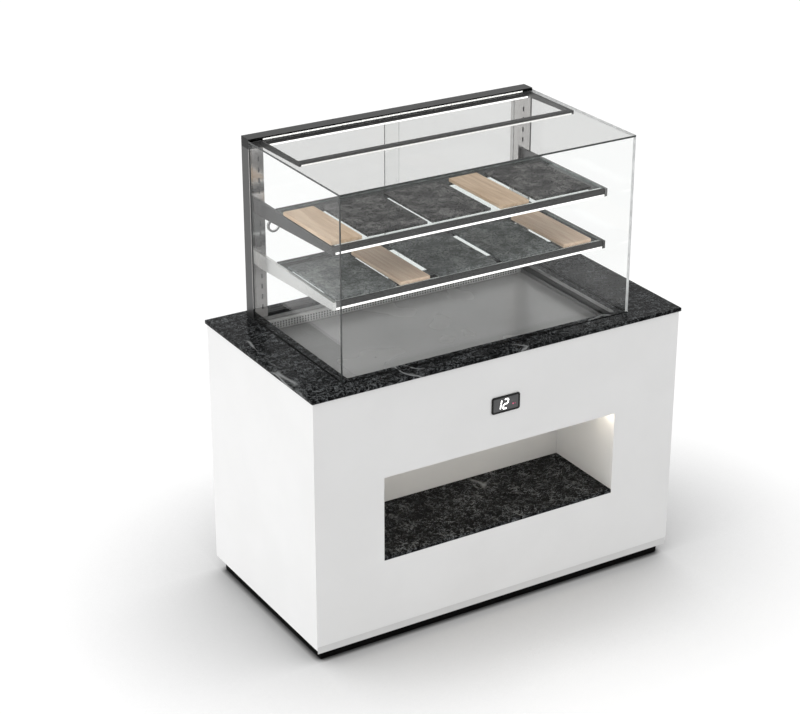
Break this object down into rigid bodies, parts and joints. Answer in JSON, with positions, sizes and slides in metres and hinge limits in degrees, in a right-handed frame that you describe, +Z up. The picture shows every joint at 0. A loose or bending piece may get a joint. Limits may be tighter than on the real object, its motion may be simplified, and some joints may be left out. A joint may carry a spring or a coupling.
{
  "type": "refrigerated buffet counter",
  "caption": "White cabinet with a black stone top, an open front niche and a shelved glass display case with rear sliding doors over a chilled well.",
  "frame": {"origin": "on the floor under the middle of the worktop", "axes": "+Z up, -Y towards the guest in front of the niche, +X to the guest's right"},
  "size_m": [1.35, 0.7, 1.495],
  "materials": {
    "white_lacquer": "satin",
    "black_stone": "polished",
    "plinth_black": "matte",
    "galvanised_steel": "satin",
    "stainless": "satin",
    "deck_steel": "polished",
    "polished_steel": "polished",
    "dark_aluminium": "satin",
    "track_aluminium": "satin",
    "lamp_diffuser": "satin",
    "clear_glass": "polished",
    "slate": "matte",
    "beech": "satin",
    "black_plastic": "satin",
    "display_window": "gloss",
    "foam": "matte",
    "fin_aluminium": "satin",
    "fan_plastic": "satin",
    "compressor_black": "satin",
    "copper": "satin",
    "drain_plastic": "satin"
  },
  "bodies": {
    "counter": {"front_panel": "white_lacquer", "left_side_panel": "white_lacquer", "right_side_panel": "white_lacquer", "base_rails": "white_lacquer", "rear_panel": "white_lacquer", "rear_vent_panel": "white_lacquer", "niche_liner": "white_lacquer", "worktop": "black_stone", "niche_stone_shelf": "black_stone", "plinth_boards": "plinth_black", "steel_frame": "galvanised_steel", "base_plate": "galvanised_steel", "levelling_feet": "galvanised_steel", "well_tub": "stainless", "deck_ledges": "stainless", "air_grille": "stainless", "condensate_tray": "stainless", "shelf_brackets": "stainless", "deck_plate": "deck_steel", "slotted_channels": "polished_steel", "uprights": "dark_aluminium", "rear_beam": "dark_aluminium", "light_arms": "dark_aluminium", "light_bar": "dark_aluminium", "upper_front_rail": "dark_aluminium", "lower_front_rail": "dark_aluminium", "shelf_rear_rails": "dark_aluminium", "door_track_top": "track_aluminium", "door_track_bottom": "track_aluminium", "rear_beam_lamps": "lamp_diffuser", "shelf_lamps": "lamp_diffuser", "niche_lamp": "lamp_diffuser", "front_glass": "clear_glass", "left_glass": "clear_glass", "right_glass": "clear_glass", "top_glass": "clear_glass", "upper_shelf_glass": "clear_glass", "lower_shelf_glass": "clear_glass", "slate_boards": "slate", "wooden_boards": "beech", "controller": "black_plastic", "cable_gland": "black_plastic", "controller_window": "display_window", "well_insulation": "foam", "evaporator": "fin_aluminium", "condenser": "fin_aluminium", "evaporator_fan_frame": "fan_plastic", "condenser_fan_frame": "fan_plastic", "compressor": "compressor_black", "refrigerant_pipes": "copper", "filter_drier": "copper", "drain_pipe": "drain_plastic"},
    "left_door": {"left_door_glass": "clear_glass", "left_door_pull": "polished_steel"},
    "right_door": {"right_door_glass": "clear_glass", "right_door_pull": "polished_steel"},
    "service_door_leaf": {"service_door": "white_lacquer", "service_door_pivots": "polished_steel"},
    "evaporator_rotor": {"evaporator_fan": "fan_plastic"},
    "condenser_rotor": {"condenser_fan": "fan_plastic"}
  },
  "joints": [
    {"name": "left_door_slide", "type": "slide", "parent": "counter", "child": "left_door", "axis": [1, 0, 0], "range_m": [0, 0.449]},
    {"name": "right_door_slide", "type": "slide", "parent": "counter", "child": "right_door", "axis": [-1, 0, 0], "range_m": [0, 0.449]},
    {"name": "service_door_hinge", "type": "hinge", "parent": "counter", "child": "service_door_leaf", "pos_m": [0.641, 0.336, 0.24], "axis": [0, 0, -1], "range_deg": [0, 90]},
    {"name": "evaporator_fan_spin", "type": "hinge", "parent": "counter", "child": "evaporator_rotor", "pos_m": [-0.05, 0.06, 0.765], "axis": [0, 1, 0], "continuous": true},
    {"name": "condenser_fan_spin", "type": "hinge", "parent": "counter", "child": "condenser_rotor", "pos_m": [-0.28, 0.197, 0.208], "axis": [0, 1, 0], "continuous": true}
  ]
}
